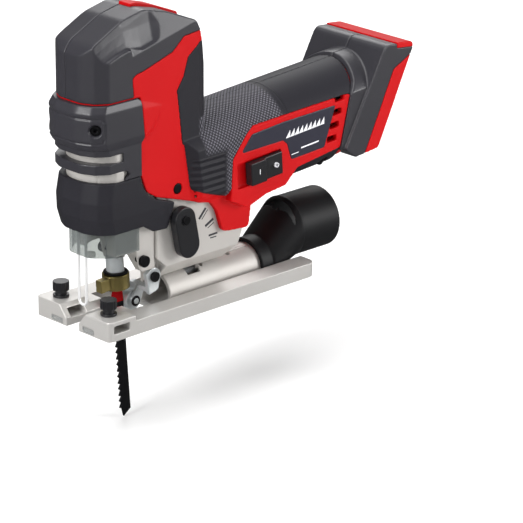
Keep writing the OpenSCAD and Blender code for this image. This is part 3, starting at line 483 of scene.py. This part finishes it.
def collarCutter():
    # Groove round the collar's front panel, and the two recesses for its screws
    panel = {"top": 132.6, "low": 117.8, "groove": 0.85, "cut": 3, "corner": (-28.6, 23.4)}
    front = [(-30.0, -23.0), (-35.5, -18.7), (-39.7, -9.2), (-40.3, 0)]
    around = front + [(x, -y) for x, y in reversed(front[:-1])]
    cornerX, cornerY = panel["corner"]
    cuts = (panel["top"] - panel["cut"], panel["low"] + panel["cut"])
    path = [(x, y, panel["top"]) for x, y in around]
    path += [(cornerX, cornerY, z) for z in cuts]
    path += [(x, y, panel["low"]) for x, y in reversed(around)]
    path += [(cornerX, -cornerY, z) for z in reversed(cuts)]
    recess = {"height": 125.5, "deep": (-32.2, 19.2, 3.6), "wide": (-36.2, 23.2, 6.2)}
    shape = bmesh.new()
    addTube(shape, cornered(path), panel["groove"])
    (deepX, deepY, deepRadius), (wideX, wideY, wideRadius) = recess["deep"], recess["wide"]
    for side in (-1, 1):
        addRod(shape, (deepX, side * deepY, recess["height"]), (wideX, side * wideY, recess["height"]),
               deepRadius, endRadius=wideRadius)
    return shape


def troughCutter():
    # The long hole, the small hole and the slit in the top of the tilting trough
    longHole = {"x": 55, "y": -5.5, "radius": 2.2, "reach": 4.5}
    smallHole = {"x": 84, "y": -4.5, "radius": 1.7}
    slit = {"start": 85, "end": 101, "left": -4.1, "right": -3.1}
    low, high = 12, 26
    shape = bmesh.new()
    x, y, radius = longHole["x"], longHole["y"], longHole["radius"]
    end = x + longHole["reach"]
    addRod(shape, (x, y, low), (x, y, high), radius)
    addRod(shape, (end, y, low - 0.1), (end, y, high + 0.1), radius)
    addSlab(shape, [(x, y - radius), (end, y - radius), (end, y + radius), (x, y + radius)],
            low - 0.2, high + 0.2, "z")
    x, y = smallHole["x"], smallHole["y"]
    addRod(shape, (x, y, low), (x, y, high), smallHole["radius"])
    addSlab(shape, [(slit["start"], slit["left"]), (slit["end"], slit["left"]),
                    (slit["end"], slit["right"]), (slit["start"], slit["right"])],
            low - 0.3, high + 0.3, "z")
    return shape


coarse = 1.0  # voxels grow while trying things
cutters = {"capLeft": lambda: crownCutter(-1), "capRight": lambda: crownCutter(1),
           "frontCollar": collarCutter, "tiltTrough": troughCutter}
for piece, nodes, body, slot, material, voxel, rounds in mouldings:
    holder = holderFor(cadShape(*nodes))
    if piece in cutters:
        carve(holder, cutters[piece]())
    mesh = soften(holder, voxel * coarse, rounds)
    mesh.name = piece
    meshPiece(piece, mesh, body, material, nodes)


# The marks are generic shapes. Pad-printed ink is flat and clean-edged; the cast marks get flat dark grey
# patches, painted shade standing in for the shade inside their recesses
whiteInk = finish("whiteInk", "#e9e9ec", "#e2e2e6", roughness=0.5, tintMm=8, grainMm=0.3,
                  grainDepthMm=0.003)
# Painted shade: dull dark grey in place of the shade inside the recessed cast marks
paintedRecessShade = finish("paintedRecessShadeGrey", "#34343a", "#2c2c31", roughness=0.6, tintMm=5, grainMm=0.3,
                 grainDepthMm=0.01)


def slanted(x, z, width, height, slant=0.3, rise=0.075):
    # A four-cornered patch that follows the barrel's rise, its ends slanting back
    shift, lift = height * slant, width * rise
    return [(x, z), (x + width, z + lift), (x + width + shift, z + lift + height), (x + shift, z + height)]


def marks(name, outlines, inner, outer, body, slot, material, side):
    # Thin patches on a side face of the tool; depths in millimetres from the middle
    shape = bmesh.new()
    for outline in outlines:
        addSlab(shape, outline, *sorted((side * inner, side * outer)))
    return meshPiece(name, toMesh(shape, name), body, material)


labelOuter = -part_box("label_left")[0].y / mm
labelDepths = (labelOuter - 0.2, labelOuter + 0.06)
teeth = {"count": 9, "pitch": 3.6, "start": 111.2, "foot": 91.79, "tip": 96.59, "step": 0.27}
for side, name in ((-1, "Left"), (1, "Right")):
    # A saw-tooth line with two thin rules below it
    outlines = []
    for i in range(teeth["count"]):
        x, rise = teeth["start"] + i * teeth["pitch"], i * teeth["step"]
        end = x + teeth["pitch"]
        outlines.append([(x, teeth["foot"] + rise), (end, teeth["foot"] + teeth["step"] + rise),
                         (end, teeth["tip"] + rise)])
    marks("labelTeeth" + name, outlines, *labelDepths, "housing", "label", whiteInk, side)
    marks("labelRule" + name, [slanted(124, 82.6, 15, 0.9), slanted(116, 80.2, 6, 0.5)], *labelDepths,
          "housing", "label", whiteInk, side)

# On and off signs on the slide switch: a bar in front and a ring behind
sliderLow, sliderHigh = (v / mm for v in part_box("switch_slider_left"))
signZ = (sliderLow.z + sliderHigh.z) / 2
signOuter = -sliderLow.y + 0.04
sign = {"bar": 0.25, "barWide": 0.5, "barHalf": 1.6, "ring": 0.76, "ringRise": 1, "inner": 1.15,
        "outer": 1.5, "parts": 9, "step": 0.7, "span": 0.62}
front, behind = (sliderLow.x + (sliderHigh.x - sliderLow.x) * sign[k] for k in ("bar", "ring"))
bar = [(front, signZ - sign["barHalf"]), (front + sign["barWide"], signZ - sign["barHalf"]),
       (front + sign["barWide"], signZ + sign["barHalf"]), (front, signZ + sign["barHalf"])]
ring = []
for k in range(sign["parts"]):
    start = k * sign["step"]
    end = start + sign["span"]
    corners = ((sign["outer"], start), (sign["outer"], end), (sign["inner"], end), (sign["inner"], start))
    ring.append([(behind + r * math.cos(a), signZ + sign["ringRise"] + r * math.sin(a))
                 for r, a in corners])
for side, name in ((-1, "Left"), (1, "Right")):
    marks("switchBar" + name, [bar], -sliderLow.y - 0.3, signOuter, "switch_slider", "label",
          whiteInk, side)
    marks("switchRing" + name, ring, -sliderLow.y - 1.5, signOuter, "switch_slider", "label",
          whiteInk, side)

# The three stroke settings beside the lever: bars of growing fan, coloured dark grey as painted shade for
# their recesses
strokeBars = (((48.4, 53), (53.8, 58.8), 1.5), ((53.4, 47.3), (60, 50.6), 1.6),
              ((56.2, 40.7), (63.3, 40.9), 1.2), ((57.4, 38.9), (62.4, 38.8), 0.7),
              ((55.4, 45.7), (60.3, 48.1), 0.5), ((50.6, 52.2), (55.4, 57.4), 0.5))
strokeOutlines = []
for (ax, az), (bx, bz), thick in strokeBars:
    length = math.hypot(bx - ax, bz - az)
    nx, nz = -(bz - az) / length * thick / 2, (bx - ax) / length * thick / 2
    strokeOutlines.append([(ax - nx, az - nz), (bx - nx, bz - nz), (bx + nx, bz + nz),
                           (ax + nx, az + nz)])
for side, name in ((-1, "Left"), (1, "Right")):
    marks("strokeMarks" + name, strokeOutlines, 18.2, 18.62, "housing", "black_plastic", paintedRecessShade, side)


def ringPiece(name, centre, inner, outer, low, high, body, material, count=48):
    # A flat ring about an upright axis, in millimetres, with a softened rim
    shape = bmesh.new()
    profile = [(inner, low), (outer - 0.3, low), (outer, low + 0.3), (outer, high - 0.3),
               (outer - 0.3, high), (inner, high)]
    rings = [[shape.verts.new(Vector((centre[0] + r * math.cos(a), centre[1] + r * math.sin(a), z)) * mm)
              for r, z in profile] for a in (2 * math.pi * k / count for k in range(count))]
    for i in range(count):
        a, b = rings[i], rings[(i + 1) % count]
        for k in range(len(profile)):
            j = (k + 1) % len(profile)
            shape.faces.new((a[k], b[k], b[j], a[j]))
    bmesh.ops.recalc_face_normals(shape, faces=shape.faces)
    return meshPiece(name, toMesh(shape, name), body, material)


washer = {"centre": (-1.7, 0), "inner": 5.6, "outer": 7.4, "low": 26.9, "high": 28.4}
ringPiece("clampWasher", washer["centre"], washer["inner"], washer["outer"], washer["low"],
          washer["high"], "clamp_ring", blackOxide)


def crossRods(name, rods, body, material):
    # Round studs across the tool: x, z, radius, and the two depths, in millimetres
    shape = bmesh.new()
    for x, z, radius, start, end in rods:
        addRod(shape, (x, start, z), (x, end, z), radius, segments=40)
    edges = bpy.data.objects.new("holder", toMesh(shape, name))
    bpy.context.scene.collection.objects.link(edges)
    bevel = edges.modifiers.new("bevel", "BEVEL")
    bevel.width, bevel.segments = 0.2 * mm, 2
    return meshPiece(name, bakeModifiers(edges), body, material)


pinLow, pinHigh = (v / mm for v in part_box("roller_pin"))
pinX, pinZ = (pinLow.x + pinHigh.x) / 2, (pinLow.z + pinHigh.z) / 2
crossRods("rollerWashers", [(pinX, pinZ, 3.3, side * 4.3, side * 5.0) for side in (-1, 1)], "guide_arm",
          blackOxide)
crossRods("rollerRivet", [(pinX, pinZ, 1.7, -5.6, 5.6)], "guide_arm", zincPlate)
print("marks: label, settings, washers and rivet are on")

# Camera, floor and light
camera = {"place": (-1.15016, -1.32321, 0.67343), "turn": -43.78, "tilt": 20.07, "roll": 0.27,
          "lens": 216.88}
turn, tilt, roll = (math.radians(camera[k]) for k in ("turn", "tilt", "roll"))
right = Vector((math.cos(turn), math.sin(turn), 0))
back = Vector((math.sin(turn) * math.cos(tilt), -math.cos(turn) * math.cos(tilt), math.sin(tilt)))
up = back.cross(right)
right, up = (right * math.cos(roll) + up * math.sin(roll),
             up * math.cos(roll) - right * math.sin(roll))
cameraData = bpy.data.cameras.new("camera")
cameraData.lens, cameraData.sensor_width = camera["lens"], 36.0
cameraData.clip_start, cameraData.clip_end = 0.05, 20
cameraObject = bpy.data.objects.new("camera", cameraData)
aimed = Matrix((right, up, back)).transposed().to_4x4()
cameraObject.matrix_world = Matrix.Translation(camera["place"]) @ aimed
bpy.context.scene.collection.objects.link(cameraObject)
bpy.context.scene.camera = cameraObject

floorSettings = {"half": 6.0, "flat": 3.0, "rise": 0.25, "height": -67.2 * mm, "colour": "#f4f4f4"}
floorShape = bmesh.new()
bmesh.ops.create_grid(floorShape, x_segments=48, y_segments=48, size=floorSettings["half"])
for vert in floorShape.verts:  # the far edges curve up like a paper backdrop
    beyond = max(0.0, vert.co.xy.length - floorSettings["flat"])
    vert.co.z += floorSettings["rise"] * beyond * beyond
floorMesh = toMesh(floorShape, "studioFloor")
floorMesh.transform(Matrix.Translation((0, 0, floorSettings["height"])))
# Matt white paper, hardly uneven
floorMesh.materials.append(finish("paperFloor", floorSettings["colour"], "#f1f1f1", roughness=0.9,
                                  tintMm=400, grainMm=2.0, grainDepthMm=0.01))
floorObject = bpy.data.objects.new("studioFloor", floorMesh)
bpy.context.scene.collection.objects.link(floorObject)
floorObject.visible_glossy = False

world = bpy.data.worlds.new("studio")
world.use_nodes = True
background = world.node_tree.nodes["Background"]
background.inputs["Color"].default_value = (1.0, 1.0, 1.0, 1.0)
background.inputs["Strength"].default_value = 0.12
bpy.context.scene.world = world
bpy.context.scene.view_settings.view_transform = "Standard"

lamps = {
    # name: kind, place, aim, power in watts (or strength), size in metres (or angle)
    "overheadSky": ("SUN", (-0.25, 0.1, 2.0), (0.05, 0, 0), 2.6, math.radians(60)),
    "keySoftbox": ("AREA", (-1.5, -0.15, 0.8), (0.0, 0, 0.1), 20, 0.6),
    "sideSoftbox": ("AREA", (1.15, -1.25, 0.45), (0.05, 0, 0.15), 16, 0.7),
    "rearSoftbox": ("AREA", (1.0, 0.9, 0.9), (0.08, 0, 0.1), 7, 0.8),
}
for name, (kind, place, aim, power, size) in lamps.items():
    lampData = bpy.data.lights.new(name, kind)
    lampData.energy = power
    if kind == "SUN":
        lampData.angle = size
    else:
        lampData.size = size
    lamp = bpy.data.objects.new(name, lampData)
    lamp.location = place
    lamp.rotation_euler = (Vector(aim) - Vector(place)).to_track_quat("-Z", "Y").to_euler()
    bpy.context.scene.collection.objects.link(lamp)
print("studio: camera, floor and lamps are set")
